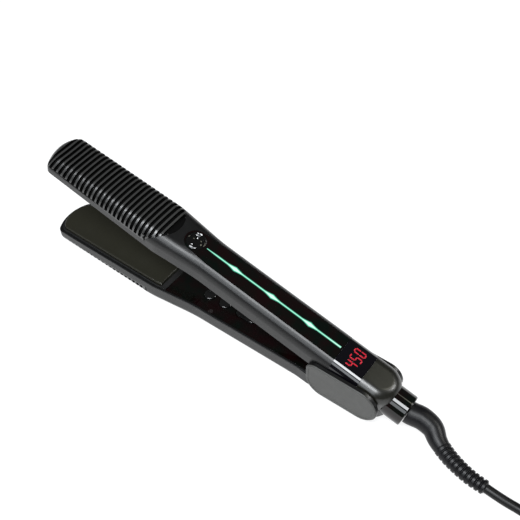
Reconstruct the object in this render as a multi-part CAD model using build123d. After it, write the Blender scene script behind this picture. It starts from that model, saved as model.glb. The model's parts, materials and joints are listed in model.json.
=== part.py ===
from build123d import *
import math
import os

# A hair straightener that lies open on its lower arm, in millimetres.
# X runs along the arms: nose at -X, hinge, tail and cord at +X. Y is the width and Z is up.
# Arm parts are drawn round the hinge axis with the arms closed: x and y from the axis,
# z from the plane in which the two heating plates meet. Both arms are drawn above that plane,
# then the upper one is opened and the lower one turned over.

# Arms, seen from above
nose_reach = 239.0
nose_half_width = 16.6
tip_half_width = 15.6
nose_bulge = 8.0
nose_corner_radius = 9.0
shoulder_start = 138.0
shoulder_end = 112.0
shoulder_blend = 170.0
handle_half_width = 13.8
tail_round_centre = 19.0

# Arms, seen from the side
opening_angle = 13.0
rim_height = 3.0
upper_height = 18.0
lower_height = 16.5
nose_drop = 4.0
crest_start = 150.0
crest_blend = 240.0
upper_edge_radius = 8.0
lower_edge_radius = 5.5
rim_chamfer = 0.4
wall = 1.6
top_wall = 3.4
lower_top_wall = 1.8
seam = 0.15
cover_thickness = 1.6

# Ribbed covers of the noses
rib_split_height = 8.5
rib_pitch = 3.55
rib_width = 1.35
upper_rib_depth = 2.0
lower_rib_depth = 1.3
rib_side_share = 0.75
wall_under_ribs = 1.6
rib_seat_inset = 0.6
front_rib_margin = 5.0
rib_foot = 0.8
tongue_border = 1.0
tongue_gap = 6.7

# Gloss inlay, light strip and ornament
inlay_half_width = 8.9
inlay_nose_radius = 7.7
inlay_widening = 14.0
inlay_thickness = 1.4
ornament_place = 122.7
ornament_radius = 6.6
ornament_facets = 18
ornament_rise = 0.8
tongue_reach = ornament_place + ornament_radius + tongue_gap
strip_start = 114.2
strip_end = 11.6
strip_half_width = 0.65
diamond_places = (92.0, 63.4, 34.8)
diamond_half_length = 5.0
diamond_half_width = 1.75
guide_half_width = 1.6
guide_depth = 2.2
led_count = 7
led_end_margin = 8.5
led_board_half_width = 3.5

# Display and electronics of the upper arm
display_start = 10.4
display_end = 9.5
display_wrap_height = 9.4
window_thickness = 1.5
digit_height = 8.4
digit_width = 3.6
digit_pitch = 4.9
digit_stroke = 0.85
digit_gap = 0.14
digit_depth = 0.25
board_height = 7.0
board_thickness = 1.4
board_start = 36.0
board_half_width = 9.0
module_half_width = 7.2
inner_cover_end = 16.2

# Heating plates and what carries them
plate_inset = 3.0
plate_rear = 138.4
plate_gap = 0.15
plate_back = 3.6
carrier_clearance = 0.1
lead_spread = 3.0
lower_lead_spread = 10.2
carrier_rim = 1.0
carrier_lip_height = 2.2
carrier_overhang = 4.0
shelf_height = 4.6
shelf_thickness = 1.4
plate_play = 0.3
heater_front_margin = 14.0
heater_rear_margin = 6.6
heater_width = 18.0
heater_thickness = 2.7
heater_room = 1.5
clamp_margin = 3.0
clamp_thickness = 0.8
plate_travel = 0.8
shield_height = 8.6
shield_thickness = 0.8
shield_half_width = 10.5
shield_overlap = 5.0
cushion_radius = 3.0
cushion_spacing = 48.0
cushion_half_spread = 6.5
lead_radius = 0.8
carrier_rear = plate_rear - carrier_overhang
heater_front = nose_reach - plate_inset - heater_front_margin
heater_rear = plate_rear + heater_rear_margin
heater_centre = (heater_front + heater_rear) / 2

# Controls in the lower arm
power_place = 107.5
mode_place = 95.0
button_radius = 4.1
button_clearance = 0.3
button_rise = 1.0
button_travel = 0.5
rocker_place = 77.5
rocker_length = 16.0
rocker_width = 7.0
rocker_pivot_height = 5.6
rocker_switch_offset = 5.5
trunnion_radius = 1.0
running_fit = 0.05
switch_size = 6.0
switch_top = 7.9
button_board_height = 10.6
button_board_thickness = 1.2
button_board_half_width = 8.5
lower_bulkhead = 24.0

# Hinge
knuckle_radius = 15.8
knuckle_clearance = 0.5
tail_underside_angle = 16.0
cheek_gap = 0.3
cheek_thickness = 1.9
oval_front = 21.0
oval_rear = 29.0
oval_top = 13.5
far_oval_top = 7.0
oval_bottom = 13.3
oval_corner_top = 7.0
oval_corner_front = 12.0
oval_corner_rear = 12.6
plate_edge = 0.7
side_plate_thickness = 1.0
side_plate_rim = 2.0
side_plate_recess = 0.25
web_reach = 15.0
pin_radius = 2.0
bush_radius = 3.6
spring_radius = 4.4
spring_wire = 1.2
spring_turns = 4
spring_pitch = 1.9
spring_leg_angle = 30.0
spring_leg_length = 19.5
spring_short_leg = 1.5

# Swivel and strain relief
collar_axis_height = 4.8
collar_radius = 10.3
collar_start = 21.0
collar_end = 42.0
collar_bore = 8.6
collar_lip = 3.0
boot_root_radius = 7.1
boot_flange_thickness = 3.2
boot_rib_count = 11
boot_rib_rise = 0.75
boot_straight = 0.6

# Cord, its tied hank and its plug
cord_diameter = 5.8
layer_gap = 0.5
strand_pitch = 7.05
hank_run = 118.0
hank_outer_radius = 22.7
hank_draw_in = 14.0
hank_waist_lift = 0.9
hank_steps = (0, 1, 2, 1, 0, 1, 2, 1, 0)
hank_top_layer = 3
tie_width = 8.0
tie_thickness = 0.7
tie_clearance = 0.2
plug_rise_length = 60.0
plug_side_shift = 1.75
relief_length = 22.0
plug_length = 26.0
plug_width = 24.0
plug_thickness = 16.4
plug_clearance = 0.3
blade_length = 16.0
blade_width = 6.35
blade_thickness = 1.5
blade_spacing = 12.7

# Place of the hinge axis, so that the box of the object is centred over the origin
lean = math.radians(opening_angle)
tail_reach = collar_end * math.cos(lean) + (collar_axis_height + collar_radius) * math.sin(lean)
hinge_x = (nose_reach - tail_reach) / 2
hinge_height = lower_height
to_hinge = Pos(hinge_x, 0, hinge_height)
upper_place = to_hinge * Rot(0, opening_angle, 0)
lower_place = to_hinge * Rot(180, 0, 0)

# Middle line of the strain relief and the free cord: x from the hinge axis, y, height above the rest plane
boot_route = [(51.0, 0.6, 10.4), (58.0, -1.8, 8.8), (65.4, -5.8, 7.3), (74.2, -9.6, 6.4), (83.4, -12.4, 5.9),
              (92.1, -13.8, 5.4)]
cord_route = [(101.3, -14.0, 5.0), (112.5, -14.4, 4.0), (124.5, -13.4, 2.98), (136.5, -15.0, 2.95),
              (147.0, -15.0, 2.95)]


def block(x_range, y_range, z_range):
    """A box between two limits on each axis."""
    centre = [(low + high) / 2 for low, high in (x_range, y_range, z_range)]
    size = [high - low for low, high in (x_range, y_range, z_range)]
    return Pos(*centre) * Box(*size)


def disc(x, y, z_range, radius):
    """An upright cylinder between two heights."""
    return Pos(x, y, (z_range[0] + z_range[1]) / 2) * Cylinder(radius, z_range[1] - z_range[0])


def cross_rod(x, z, y_range, radius):
    """A cylinder that lies across the arm."""
    length = y_range[1] - y_range[0]
    return Pos(x, (y_range[0] + y_range[1]) / 2, z) * Rot(90, 0, 0) * Cylinder(radius, length)


def long_rod(x_range, y, z, radius):
    """A cylinder that lies along the arm."""
    length = x_range[1] - x_range[0]
    return Pos((x_range[0] + x_range[1]) / 2, y, z) * Rot(0, 90, 0) * Cylinder(radius, length)


def ring_face(centre, direction, radius):
    """Round section square to a path, its seam kept to one side."""
    level = Vector(0, 1, 0).cross(direction)
    level = level.normalized() if level.length > 0.1 else Vector(1, 0, 0)
    return Plane(origin=centre, x_dir=level, z_dir=direction) * Circle(radius)


def arm_outline(inset, square_rear=None):
    """Outline of an arm from above, pulled in by inset, with a round or a square rear end."""
    side = handle_half_width - inset
    rear = tail_round_centre if square_rear is None else square_rear
    tip = inset - nose_reach
    upper_side = [(rear, side), (-shoulder_end, side), (-shoulder_start, nose_half_width - inset),
                  (tip + nose_bulge, tip_half_width - inset)]
    lower_side = [(x, -y) for x, y in reversed(upper_side)]
    front = ThreePointArc(upper_side[-1], (tip, 0), lower_side[0])
    if square_rear is None:
        back = ThreePointArc(lower_side[-1], (rear + side, 0), upper_side[0])
    else:
        back = Line(lower_side[-1], upper_side[0])
    face = make_face(Polyline(*upper_side) + front + Polyline(*lower_side) + back)
    shoulders = [v for v in face.vertices() if -shoulder_start - 1 < v.X < -shoulder_end + 1]
    face = fillet(shoulders, shoulder_blend)
    corners = [v for v in face.vertices() if v.X < tip + nose_bulge + 0.1]
    return fillet(corners, nose_corner_radius - inset * 0.8)


crest_slope = math.atan(nose_drop / (nose_reach - crest_start))


def crest_profile(height):
    """Side view that thins an arm towards its nose, as a solid to intersect with."""
    level = 60.0
    tip = -nose_reach - 1
    bend = (-crest_start, height)
    tip_height = height + (tip + crest_start) * math.tan(crest_slope)
    face = make_face(Polyline((level, -level), (level, height), bend, (tip, tip_height), (tip, -level), close=True))
    face = fillet([v for v in face.vertices() if abs(v.X + crest_start) < 0.1], crest_blend)
    return extrude(Plane.XZ * face, amount=level, both=True)


def arm_body(inset, height, base, edge, square_rear=None, rim=0):
    """Solid arm: upright sides, a crest that falls to the nose, rounded upper edges and a bevelled rim."""
    body = Pos(0, 0, base) * extrude(arm_outline(inset, square_rear), amount=height - base)
    if rim:
        body = chamfer([e for e in body.edges() if e.center().Z < base + 0.01], rim)
    body = body & crest_profile(height)
    crown = []
    for item in body.edges():
        middle = item @ 0.5
        across = abs((item % 0.5).Y) > 0.99 and abs(middle.Y) < 1 and middle.X > -nose_reach + 10
        if middle.Z > height - nose_drop - 0.5 and abs((item % 0.5).Z) < 0.5 and not across:
            crown.append(item)
    rear_round = [e for e in body.edges() if square_rear is None and (e @ 0.5).X > tail_round_centre + 5
                  and (e @ 0.5).Z > height - 0.1]
    return fillet(ShapeList(crown + [e for e in rear_round if e not in crown]), edge)


def nose_zone(inset, z_range):
    """Prism over the nose whose rear end is the round tongue of the ribbed cover."""
    radius = nose_half_width - inset
    centre = -tongue_reach - nose_half_width
    zone = Pos(centre, 0) * Circle(radius)
    front = Pos(centre - nose_reach / 2, 0) * Rectangle(nose_reach, 2 * radius)
    return Pos(0, 0, z_range[0]) * extrude(zone + front, amount=z_range[1] - z_range[0])


def groove_floor(place, height, edge, rib_depth):
    """Cross-section left between two ribs of a nose at a distance from the hinge, as (y, z)."""
    along = (place - shoulder_start) / (nose_reach - nose_bulge - shoulder_start)
    half = nose_half_width + (tip_half_width - nose_half_width) * along - rib_side_share * rib_depth
    top = height - max(0, place - crest_start) * math.tan(crest_slope) - rib_depth
    face = Pos(0, (top + rim_height) / 2) * Rectangle(2 * half, top - rim_height)
    return fillet([v for v in face.vertices() if v.Y > rim_height + 1], edge - rib_depth)


def rib_cover(outer, inner, height, edge, rib_depth):
    """Ribbed cover of a nose: ribs wrap over its crest and fade out low on its sides."""
    reach = upper_height + 1
    front = (-nose_reach - 1, -tongue_reach - nose_half_width)
    cover = (outer - inner) & (nose_zone(0, (rib_split_height, reach)) + block(front, (-20, 20),
                                                                              (rib_split_height, reach)))
    band = Pos(0, (rib_split_height + rib_foot + reach) / 2) * Rectangle(50, reach - rib_split_height - rib_foot)
    width = rib_pitch - rib_width
    grooves = []
    place = nose_reach - front_rib_margin - rib_pitch / 2
    while place > tongue_reach + tongue_border + width:
        ring = Plane(origin=(-place - width / 2, 0, 0), x_dir=(0, 1, 0), z_dir=(1, 0, 0))
        grooves.append(extrude(ring * (band - groove_floor(place, height, edge, rib_depth)), amount=width))
        place -= rib_pitch
    limit = nose_zone(tongue_border, (0, reach)) + block(front, (-25, 25), (0, reach))
    return cover - [groove & limit for groove in grooves]


def housing_shell(outer, inner):
    """Arm housing without the zone of its ribbed cover."""
    zone = nose_zone(-seam, (rib_split_height, upper_height + 1))
    front = block((-nose_reach - 1, -tongue_reach - nose_half_width), (-20, 20),
                  (rib_split_height, upper_height + 1))
    return outer - inner - zone - front


def plan_prism(inset, z_range, x_range):
    """Prism of the arm's outline between two heights, cut to a stretch of its length."""
    body = Pos(0, 0, z_range[0]) * extrude(arm_outline(inset), amount=z_range[1] - z_range[0])
    return body & block(x_range, (-25, 25), z_range)


# Pieces that both arms have

def heating_plate():
    front = (-nose_reach, -plate_rear)
    plate = plan_prism(plate_inset, (plate_gap, plate_back), front)
    working_edges = [e for e in plate.edges() if e.center().Z < plate_gap + 0.01]
    return fillet(working_edges, 0.7)


def plate_carrier():
    outside = wall + carrier_clearance
    body = plan_prism(outside, (carrier_lip_height, shelf_height + shelf_thickness), (-nose_reach, -carrier_rear))
    room = plan_prism(outside + carrier_rim, (0, shelf_height), (-nose_reach, -plate_rear + plate_play))
    opening = heater_box(heater_room, (0, shield_height))
    return body - room - opening


def heater_box(margin, z_range):
    half = heater_width / 2 + margin
    return block((-heater_front - margin, -heater_rear + margin), (-half, half), z_range)


heater_back = plate_back + heater_thickness
clamp_back = heater_back + clamp_thickness


def heater():
    return heater_box(0, (plate_back, heater_back))


def heater_clamp():
    body = heater_box(clamp_margin, (heater_back, clamp_back))
    for share in (-1, 0, 1):
        place = -heater_centre + share * (heater_front - heater_rear) / 3
        body -= disc(place, 0, (heater_back - 1, clamp_back + 1), 3.5)
    return body


def thermal_fuse():
    z = clamp_back + 0.85
    x = -heater_rear
    return long_rod((x - 4.5, x + 2.5), 6, z, 0.8) + long_rod((x - 5.5, x - 4.5), 6, z, 0.4)


cushion_places = [-heater_centre - 2 + side * cushion_spacing / 2 for side in (-1, 1)]


def heat_shield():
    reach = cushion_radius + shield_overlap
    return block((cushion_places[0] - shield_overlap, cushion_places[1] + reach),
                 (-shield_half_width, shield_half_width), (shield_height, shield_height + shield_thickness))


def cushions():
    pads = []
    for x in cushion_places:
        for y in (-cushion_half_spread, cushion_half_spread):
            pads.append(disc(x, y, (clamp_back + plate_travel + 0.05, shield_height), cushion_radius))
    return Compound(pads)


def heater_leads(end, spread):
    start = -heater_rear + clamp_margin + 0.4
    return Compound([long_rod((start, end), y, shelf_height + shelf_thickness + lead_radius + 0.3, lead_radius)
                     for y in (-spread, spread)])


# Upper arm

upper_outer = arm_body(0, upper_height, rim_height, upper_edge_radius, rim=rim_chamfer)
upper_inner = arm_body(wall, upper_height - top_wall, rim_height - 1, upper_edge_radius - wall)
upper_rib_wall = wall_under_ribs + upper_rib_depth
upper_under_ribs = arm_body(upper_rib_wall - rib_seat_inset, upper_height - upper_rib_wall, rim_height - 1,
                            upper_edge_radius - upper_rib_wall)
window_skin = arm_body(window_thickness, upper_height - window_thickness, rim_height - 1,
                       upper_edge_radius - window_thickness)
cover_screw_places = [(-120.0, -8.0), (-120.0, 8.0), (-48.0, -8.0), (-48.0, 8.0)]


def inlay_plan(grow):
    """Outline of the gloss inlay: round about the ornament, then widening to its full width."""
    start = -ornament_place
    full = inlay_half_width + grow
    nose = inlay_nose_radius + grow
    taper = make_face(Polyline((start, nose), (start + inlay_widening, full), (-display_start + grow, full),
                               (-display_start + grow, -full), (start + inlay_widening, -full), (start, -nose),
                               close=True))
    return taper + Pos(start, 0) * Circle(nose)


def strip_plan(grow):
    """Outline of the lit line with its diamond-shaped swellings."""
    middle = -(strip_start + strip_end) / 2
    plan = Pos(middle, 0) * Rectangle(strip_start - strip_end + 2 * grow, 2 * (strip_half_width + grow))
    for place in diamond_places:
        long = diamond_half_length + grow
        wide = diamond_half_width + grow
        plan += make_face(Polyline((-place - long, 0), (-place, wide), (-place + long, 0), (-place, -wide),
                                   close=True))
    return plan


def prism(plan, z_range):
    return Pos(0, 0, z_range[0]) * extrude(plan, amount=z_range[1] - z_range[0])


inlay_floor = upper_height - inlay_thickness
deck = upper_height - top_wall


def guide_bar(grow, z_range):
    x_range = (-strip_start - 0.5 - grow, -strip_end + 0.5 + grow)
    half = guide_half_width + grow
    return block(x_range, (-half, half), z_range)


def upper_housing():
    shell = housing_shell(upper_outer, upper_inner)
    shell &= block((-nose_reach - 5, display_end), (-25, 25), (0, 30))
    shell -= block((-display_start, display_end + 1), (-25, 25), (display_wrap_height, 30))
    shell -= prism(inlay_plan(seam), (inlay_floor, 30))
    shell -= guide_bar(0.2, (deck - 1, 30))
    for x, y in cover_screw_places:
        boss = disc(x, y, (rim_height + cover_thickness, deck + 0.5), 2.4)
        shell = shell + boss - disc(x, y, (0, deck - 1.5), 1.05)
    return shell


def gloss_inlay():
    body = upper_outer & prism(inlay_plan(0), (inlay_floor, 30))
    body -= prism(strip_plan(0.05), (0, 30))
    return body - disc(-ornament_place, 0, (inlay_floor + 0.5, 30), ornament_radius + 0.1)


def light_strip():
    line = prism(strip_plan(0), (inlay_floor - 0.1, upper_height))
    return line + guide_bar(0, (inlay_floor - guide_depth, inlay_floor - 0.1))


def led_board():
    top = inlay_floor - guide_depth - 1.1
    half = led_board_half_width
    return block((-strip_start + led_end_margin / 4, -strip_end - led_end_margin / 2), (-half, half), (top - 1.0, top))


def strip_leds():
    top = inlay_floor - guide_depth - 1.1
    chips = []
    first = -strip_start + led_end_margin
    pitch = (strip_start - strip_end - 2 * led_end_margin) / (led_count - 1)
    for order in range(led_count):
        place = first + order * pitch
        chips.append(block((place - 1.4, place + 1.4), (-1.3, 1.3), (top, top + 0.8)))
    return Compound(chips)


def ornament():
    """Round dress stone: a flat-faced crown round a dished centre."""
    low = inlay_floor + 0.5
    girdle = upper_height - 0.1
    base = disc(-ornament_place, 0, (low, girdle), ornament_radius)
    rim = Pos(-ornament_place, 0, girdle) * RegularPolygon(ornament_radius, ornament_facets)
    table = Pos(-ornament_place, 0, upper_height + ornament_rise) * Rot(0, 0, 180 / ornament_facets)
    table = table * RegularPolygon(ornament_radius - 1.5, ornament_facets)
    crown = loft([rim, table], ruled=True)
    dish = Pos(-ornament_place, 0, upper_height + ornament_rise + 0.01 - 0.5)
    dish = dish * Cone(ornament_radius - 4.2, ornament_radius - 2.2, 1.0)
    return base + crown - dish


segment_lines = {
    "top": ((1, 1), (1, -1)), "upper_left": ((1, -1), (0, -1)), "upper_right": ((1, 1), (0, 1)),
    "middle": ((0, 1), (0, -1)), "lower_left": ((0, -1), (-1, -1)), "lower_right": ((0, 1), (-1, 1)),
    "bottom": ((-1, 1), (-1, -1)),
}
shown_digits = [
    ("upper_left", "upper_right", "middle", "lower_right"),
    ("top", "upper_left", "middle", "lower_right", "bottom"),
    ("top", "upper_left", "upper_right", "lower_left", "lower_right", "bottom"),
]


def digit_segment(name, digit_y):
    """One lit bar with pointed ends; digits stand with their tops towards the nose."""
    (row_a, side_a), (row_b, side_b) = segment_lines[name]
    tall = (digit_height - digit_stroke) / 2
    wide = (digit_width - digit_stroke) / 2
    centre_x = (display_end - display_start) / 2
    start = Vector(centre_x - row_a * tall, digit_y + side_a * wide)
    end = Vector(centre_x - row_b * tall, digit_y + side_b * wide)
    along = (end - start).normalized()
    aside = Vector(-along.Y, along.X) * (digit_stroke / 2)
    tip_a = start + along * digit_gap
    tip_b = end - along * digit_gap
    neck_a = tip_a + along * (digit_stroke / 2)
    neck_b = tip_b - along * (digit_stroke / 2)
    points = [tip_a, neck_a + aside, neck_b + aside, tip_b, neck_b - aside, neck_a - aside]
    bar = make_face(Polyline(*[(p.X, p.Y) for p in points], close=True))
    return prism(bar, (upper_height - digit_depth, upper_height))


def display_digits():
    bars = []
    for order, names in enumerate(shown_digits):
        bars += [digit_segment(name, (order - 1) * digit_pitch - 0.2) for name in names]
    return Compound(bars)


def display_window():
    zone = block((-display_start + seam, display_end - seam), (-25, 25), (display_wrap_height + seam, 30))
    return (upper_outer - window_skin) & zone


def control_board():
    return block((-board_start, display_end - 0.5), (-board_half_width, board_half_width),
                 (board_height, board_height + board_thickness))


def board_components():
    top = board_height + board_thickness
    near = -board_start + 3
    chips = [block((near, near + 7), (-6, 1), (top, top + 1.2)), block((near, near + 4), (3.5, 7.5), (top, top + 2.5)),
             block((near + 9, near + 15), (-6, -2), (top, top + 2.0)), disc(near + 13, 4.5, (top, top + 3.2), 2.2)]
    return Compound(chips)


def display_module():
    top = board_height + board_thickness
    return block((-display_start + 1.6, display_end - 1.6), (-module_half_width, module_half_width),
                 (top, upper_height - window_thickness - 0.3))


def screw(x, y, head_z, length, head_radius, shank_radius):
    """Pan-head screw, its head towards the meeting plane, with a crossed recess."""
    body = disc(x, y, (head_z, head_z + 0.9), head_radius) + disc(x, y, (head_z + 0.9, head_z + length), shank_radius)
    for angle in (0, 90):
        body -= Pos(x, y, head_z) * Rot(0, 0, angle) * Box(head_radius * 1.2, 0.45, 0.9)
    return body


def upper_inner_cover():
    cover = plan_prism(wall + seam, (rim_height, rim_height + cover_thickness), (-carrier_rear + seam, -inner_cover_end))
    for x, y in cover_screw_places:
        cover = cover - disc(x, y, (0, rim_height + 1.1), 2.1) - disc(x, y, (0, 10), 1.15)
    return cover


def cover_screws():
    return Compound([screw(x, y, rim_height + 0.2, 8.0, 1.9, 1.0) for x, y in cover_screw_places])


def tail_profile(radius):
    """Side view of the tail block: a round knuckle whose underside rises towards the cord."""
    angle = math.radians(tail_underside_angle)
    foot = (radius * math.sin(angle), -radius * math.cos(angle))
    end = tail_round_centre + handle_half_width + 1
    end_height = foot[1] + (end - foot[0]) * math.tan(angle)
    wedge = make_face(Polyline((0, 0), foot, (end, end_height), (end, rim_height), (0, rim_height), close=True))
    return (Circle(radius) & Pos(0, -radius + rim_height) * Rectangle(2 * radius, 2 * radius)) + wedge


def collar_cut():
    return long_rod((collar_start - 0.3, 60), 0, collar_axis_height, collar_radius + 0.1)


def tail_block():
    body = extrude(Plane.XZ * tail_profile(knuckle_radius), amount=30, both=True)
    body &= plan_prism(0, (-30, rim_height), (-knuckle_radius - 1, 60))
    under = [e for e in body.edges() if e.center().Z < -5 and abs(e.center().Y) > 5]
    body = fillet(under, 2.0)
    body += block((-14, display_end - 0.5), (-board_half_width, board_half_width), (rim_height - 1, board_height))
    body -= cross_rod(0, 0, (-20, 20), pin_radius + running_fit)
    body -= cross_rod(0, 0, (-5.2, 5.2), spring_radius + spring_wire / 2 + 0.4)
    body -= block((-5.4, 5.4), (-5.2, 5.2), (0, board_height + 1))
    body -= spring_leg_slot(2.9, 4.7, knuckle_radius + 1, 0)
    return body - collar_cut()


def spring_leg_slot(y_low, y_high, reach, swing):
    """Slot for the spring's long leg, below the pin and swing degrees wide towards the upper arm."""
    low = Rot(0, -spring_leg_angle, 0)
    high = Rot(0, swing - spring_leg_angle, 0)
    deep = -spring_radius - spring_wire / 2 - 0.5
    shallow = -spring_radius + spring_wire / 2 + 0.5
    corners = [low * Pos(0, 0, deep), low * Pos(-reach, 0, deep), high * Pos(-reach, 0, shallow),
               high * Pos(0, 0, shallow)]
    outline = [(c.position.X, c.position.Z) for c in corners]
    face = Plane.XZ * make_face(Polyline(*outline, close=True))
    return Pos(0, y_high, 0) * extrude(face, amount=y_high - y_low)


def tail_cap():
    shell = (upper_outer - upper_inner) & block((display_end, 60), (-25, 25), (rim_height, 30))
    return shell - collar_cut()


def hinge_pin():
    reach = handle_half_width + cheek_gap + cheek_thickness - 0.3
    return cross_rod(0, 0, (-reach, reach), pin_radius)


def half_turn(start, end, heading):
    """Two quarter arcs from start to end that leave along the heading and arrive against it."""
    middle = (start + end) / 2 + heading * ((end - start).length / 2)
    return [TangentArc(start, middle, tangent=heading), TangentArc(middle, end, tangent=end - start)]


def hinge_spring():
    """Torsion spring round the pin: close turns, a short leg upwards and a long leg to the lower arm."""
    nodes = []
    for step in range(2 * spring_turns + 1):
        side = 1 if step % 2 == 0 else -1
        nodes.append(Vector(side * spring_radius, 0, (step / 2 - spring_turns / 2) * spring_pitch))
    edges = [Line(nodes[0] - Vector(0, spring_leg_length, 0), nodes[0])]
    for step, (start, end) in enumerate(zip(nodes, nodes[1:])):
        edges += half_turn(start, end, Vector(0, 1 if step % 2 == 0 else -1, 0))
    edges.append(Line(nodes[-1], nodes[-1] + Vector(0, spring_short_leg, 0)))
    path = Wire(edges)
    solid = sweep(ring_face(path @ 0, Vector(0, 1, 0), spring_wire / 2), path=path)
    expected = math.pi * spring_wire ** 2 / 4 * path.length
    print("hinge spring volume share", round(solid.volume / expected, 4))
    return Rot(90, 0, 0) * Rot(0, 0, spring_leg_angle - 90) * solid


# Lower arm

lower_outer = arm_body(0, lower_height, rim_height, lower_edge_radius, 1 - web_reach, rim_chamfer)
lower_inner = arm_body(wall, lower_height - lower_top_wall, rim_height - 1, lower_edge_radius - wall,
                       -lower_bulkhead)
lower_rib_wall = wall_under_ribs + lower_rib_depth
lower_under_ribs = arm_body(lower_rib_wall - rib_seat_inset, lower_height - lower_rib_wall, rim_height - 1,
                            lower_edge_radius - lower_rib_wall, -lower_bulkhead)
button_board_range = (-114.0, -66.0)
board_screw_places = [(-111.5, 6.0), (-89.0, -6.0), (-68.5, 6.0)]


def oval_plan(inset, top):
    """Side plate outline: blunt towards the nose, rounder below and at the tail."""
    length = oval_front + oval_rear - 2 * inset
    height = top + oval_bottom - 2 * inset
    plan = Pos((oval_rear - oval_front) / 2, (top - oval_bottom) / 2) * Rectangle(length, height)
    rear = [v for v in plan.vertices() if v.X > 0]
    plan = fillet(rear, min(oval_corner_rear - inset, height / 2 - 0.2))
    low = [v for v in plan.vertices() if v.X < -oval_front + inset + 0.1 and v.Y < 0]
    plan = fillet(low, oval_corner_front - inset)
    high = [v for v in plan.vertices() if v.X < -oval_front + inset + 0.1 and v.Y > 0]
    return fillet(high, oval_corner_top - inset)


def side_slab(inset, y_near, thickness, top):
    """Slab of the side plate's outline on the near side, growing outwards."""
    place = Plane(origin=(0, -y_near, 0), x_dir=(1, 0, 0), z_dir=(0, -1, 0))
    return extrude(place * oval_plan(inset, top), amount=thickness)


cheek_inner = handle_half_width + cheek_gap
cheek_outer = cheek_inner + cheek_thickness


def hinge_cheek(top):
    cheek = side_slab(0, cheek_inner, cheek_thickness, top)
    inside = handle_half_width - wall
    outside = cheek_inner + 0.5
    web = make_face(Polyline((-oval_front - web_reach, -inside), (-oval_front - web_reach, 0.6 - handle_half_width),
                             (-oval_front, -outside), (-web_reach, -outside), (-web_reach, -inside), close=True))
    cheek += prism(web, (-12.4, -rim_height - 0.2))
    return cheek


def lower_housing():
    shell = Rot(180, 0, 0) * housing_shell(lower_outer, lower_inner)
    for x, y in board_screw_places:
        boss = disc(x, y, (-lower_height + lower_top_wall - 0.5, -button_board_height - button_board_thickness), 2.2)
        shell = shell + boss - disc(x, y, (-lower_height + lower_top_wall, -5), 0.9)
    shell = shell + hinge_cheek(oval_top) + mirror(hinge_cheek(far_oval_top), about=Plane.XZ)
    shell -= cross_rod(0, 0, (-cheek_inner, cheek_inner), knuckle_radius + knuckle_clearance)
    shell -= cross_rod(0, 0, (-30, 30), bush_radius + running_fit)
    shell -= spring_leg_slot(2.7, 4.9, 21, opening_angle + 3)
    return shell


def hinge_bushes():
    ring = cross_rod(0, 0, (-cheek_outer, -cheek_inner), bush_radius)
    ring -= cross_rod(0, 0, (-30, 30), pin_radius + running_fit)
    return Compound([ring, mirror(ring, about=Plane.XZ)])


def side_plate(top):
    """Oval plate of the near side with a raised rim."""
    plate = side_slab(0.3, cheek_outer, side_plate_thickness, top)
    outline = [e for e in plate.edges() if e.center().Y < -cheek_outer - side_plate_thickness + 0.01]
    face_level = cheek_outer + side_plate_thickness - side_plate_recess
    return chamfer(outline, plate_edge) - side_slab(0.3 + side_plate_rim, face_level, 1.0, top)


# Controls, drawn like the arms above the meeting plane

def button_hole(place):
    return disc(-place, 0, (0, 10), button_radius + button_clearance)


def oblong(length, width, z_range):
    return prism(Pos(-rocker_place, 0) * SlotOverall(length, width), z_range)


panel_back = rim_height + cover_thickness


def lower_inner_panel():
    panel = plan_prism(wall + seam, (rim_height, panel_back), (-carrier_rear + seam, -lower_bulkhead))
    for place in (power_place, mode_place):
        panel -= button_hole(place)
    panel -= oblong(rocker_length + 0.8, rocker_width + 0.8, (0, 10))
    half = rocker_width / 2
    for side in (-1, 1):
        ear_y = sorted((side * (half + 0.6), side * (half + 2.0)))
        ear = block((-rocker_place - 2.2, -rocker_place + 2.2), ear_y, (panel_back - 0.5, rocker_pivot_height + 1.6))
        panel += ear - cross_rod(-rocker_place, rocker_pivot_height, (-9, 9), trunnion_radius + running_fit)
    return panel


def push_button(place):
    """Domed cap, a flange behind the panel and a stem to its switch."""
    cap = disc(-place, 0, (rim_height - button_rise, panel_back + 0.4), button_radius)
    cap = fillet([e for e in cap.edges() if e.center().Z < rim_height], 0.6)
    dish = Pos(-place, 0, rim_height - button_rise - 11.6) * Sphere(12.0)
    flange = disc(-place, 0, (panel_back + 0.3, panel_back + 1.1), button_radius + 1.1)
    stem = disc(-place, 0, (panel_back + 1.0, switch_top - 1.3), 1.5)
    return cap - dish + flange + stem


def temperature_rocker():
    """Oblong key that tips about a cross pin, with a foot over each of its two switches."""
    cap = oblong(rocker_length, rocker_width, (rim_height - button_rise, panel_back + 0.6))
    cap = fillet([e for e in cap.edges() if e.center().Z < rim_height - button_rise + 0.01], 0.6)
    valley = Pos(-rocker_place, 0, rim_height - button_rise - 19.55) * Rot(90, 0, 0) * Cylinder(20.0, 20)
    cap -= valley
    cap += block((-rocker_place - 1.6, -rocker_place + 1.6), (-2.6, 2.6), (panel_back, rocker_pivot_height + 0.9))
    reach = rocker_width / 2 + 1.9
    cap += cross_rod(-rocker_place, rocker_pivot_height, (-reach, reach), trunnion_radius)
    for side in (-1, 1):
        cap += disc(-rocker_place + side * rocker_switch_offset, 0, (panel_back, switch_top - 1.4), 1.2)
    return cap


switch_places = [-power_place, -mode_place, -rocker_place - rocker_switch_offset,
                 -rocker_place + rocker_switch_offset]


def tact_switches():
    half = switch_size / 2
    bodies = []
    for x in switch_places:
        body = block((x - half, x + half), (-half, half), (switch_top, button_board_height))
        bodies.append(body + disc(x, 0, (switch_top - 0.7, switch_top), 1.6))
    return Compound(bodies)


def button_board():
    half = button_board_half_width
    board = block(button_board_range, (-half, half), (button_board_height, button_board_height + button_board_thickness))
    for x, y in board_screw_places:
        board -= disc(x, y, (0, 30), 1.0)
    return board


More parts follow.
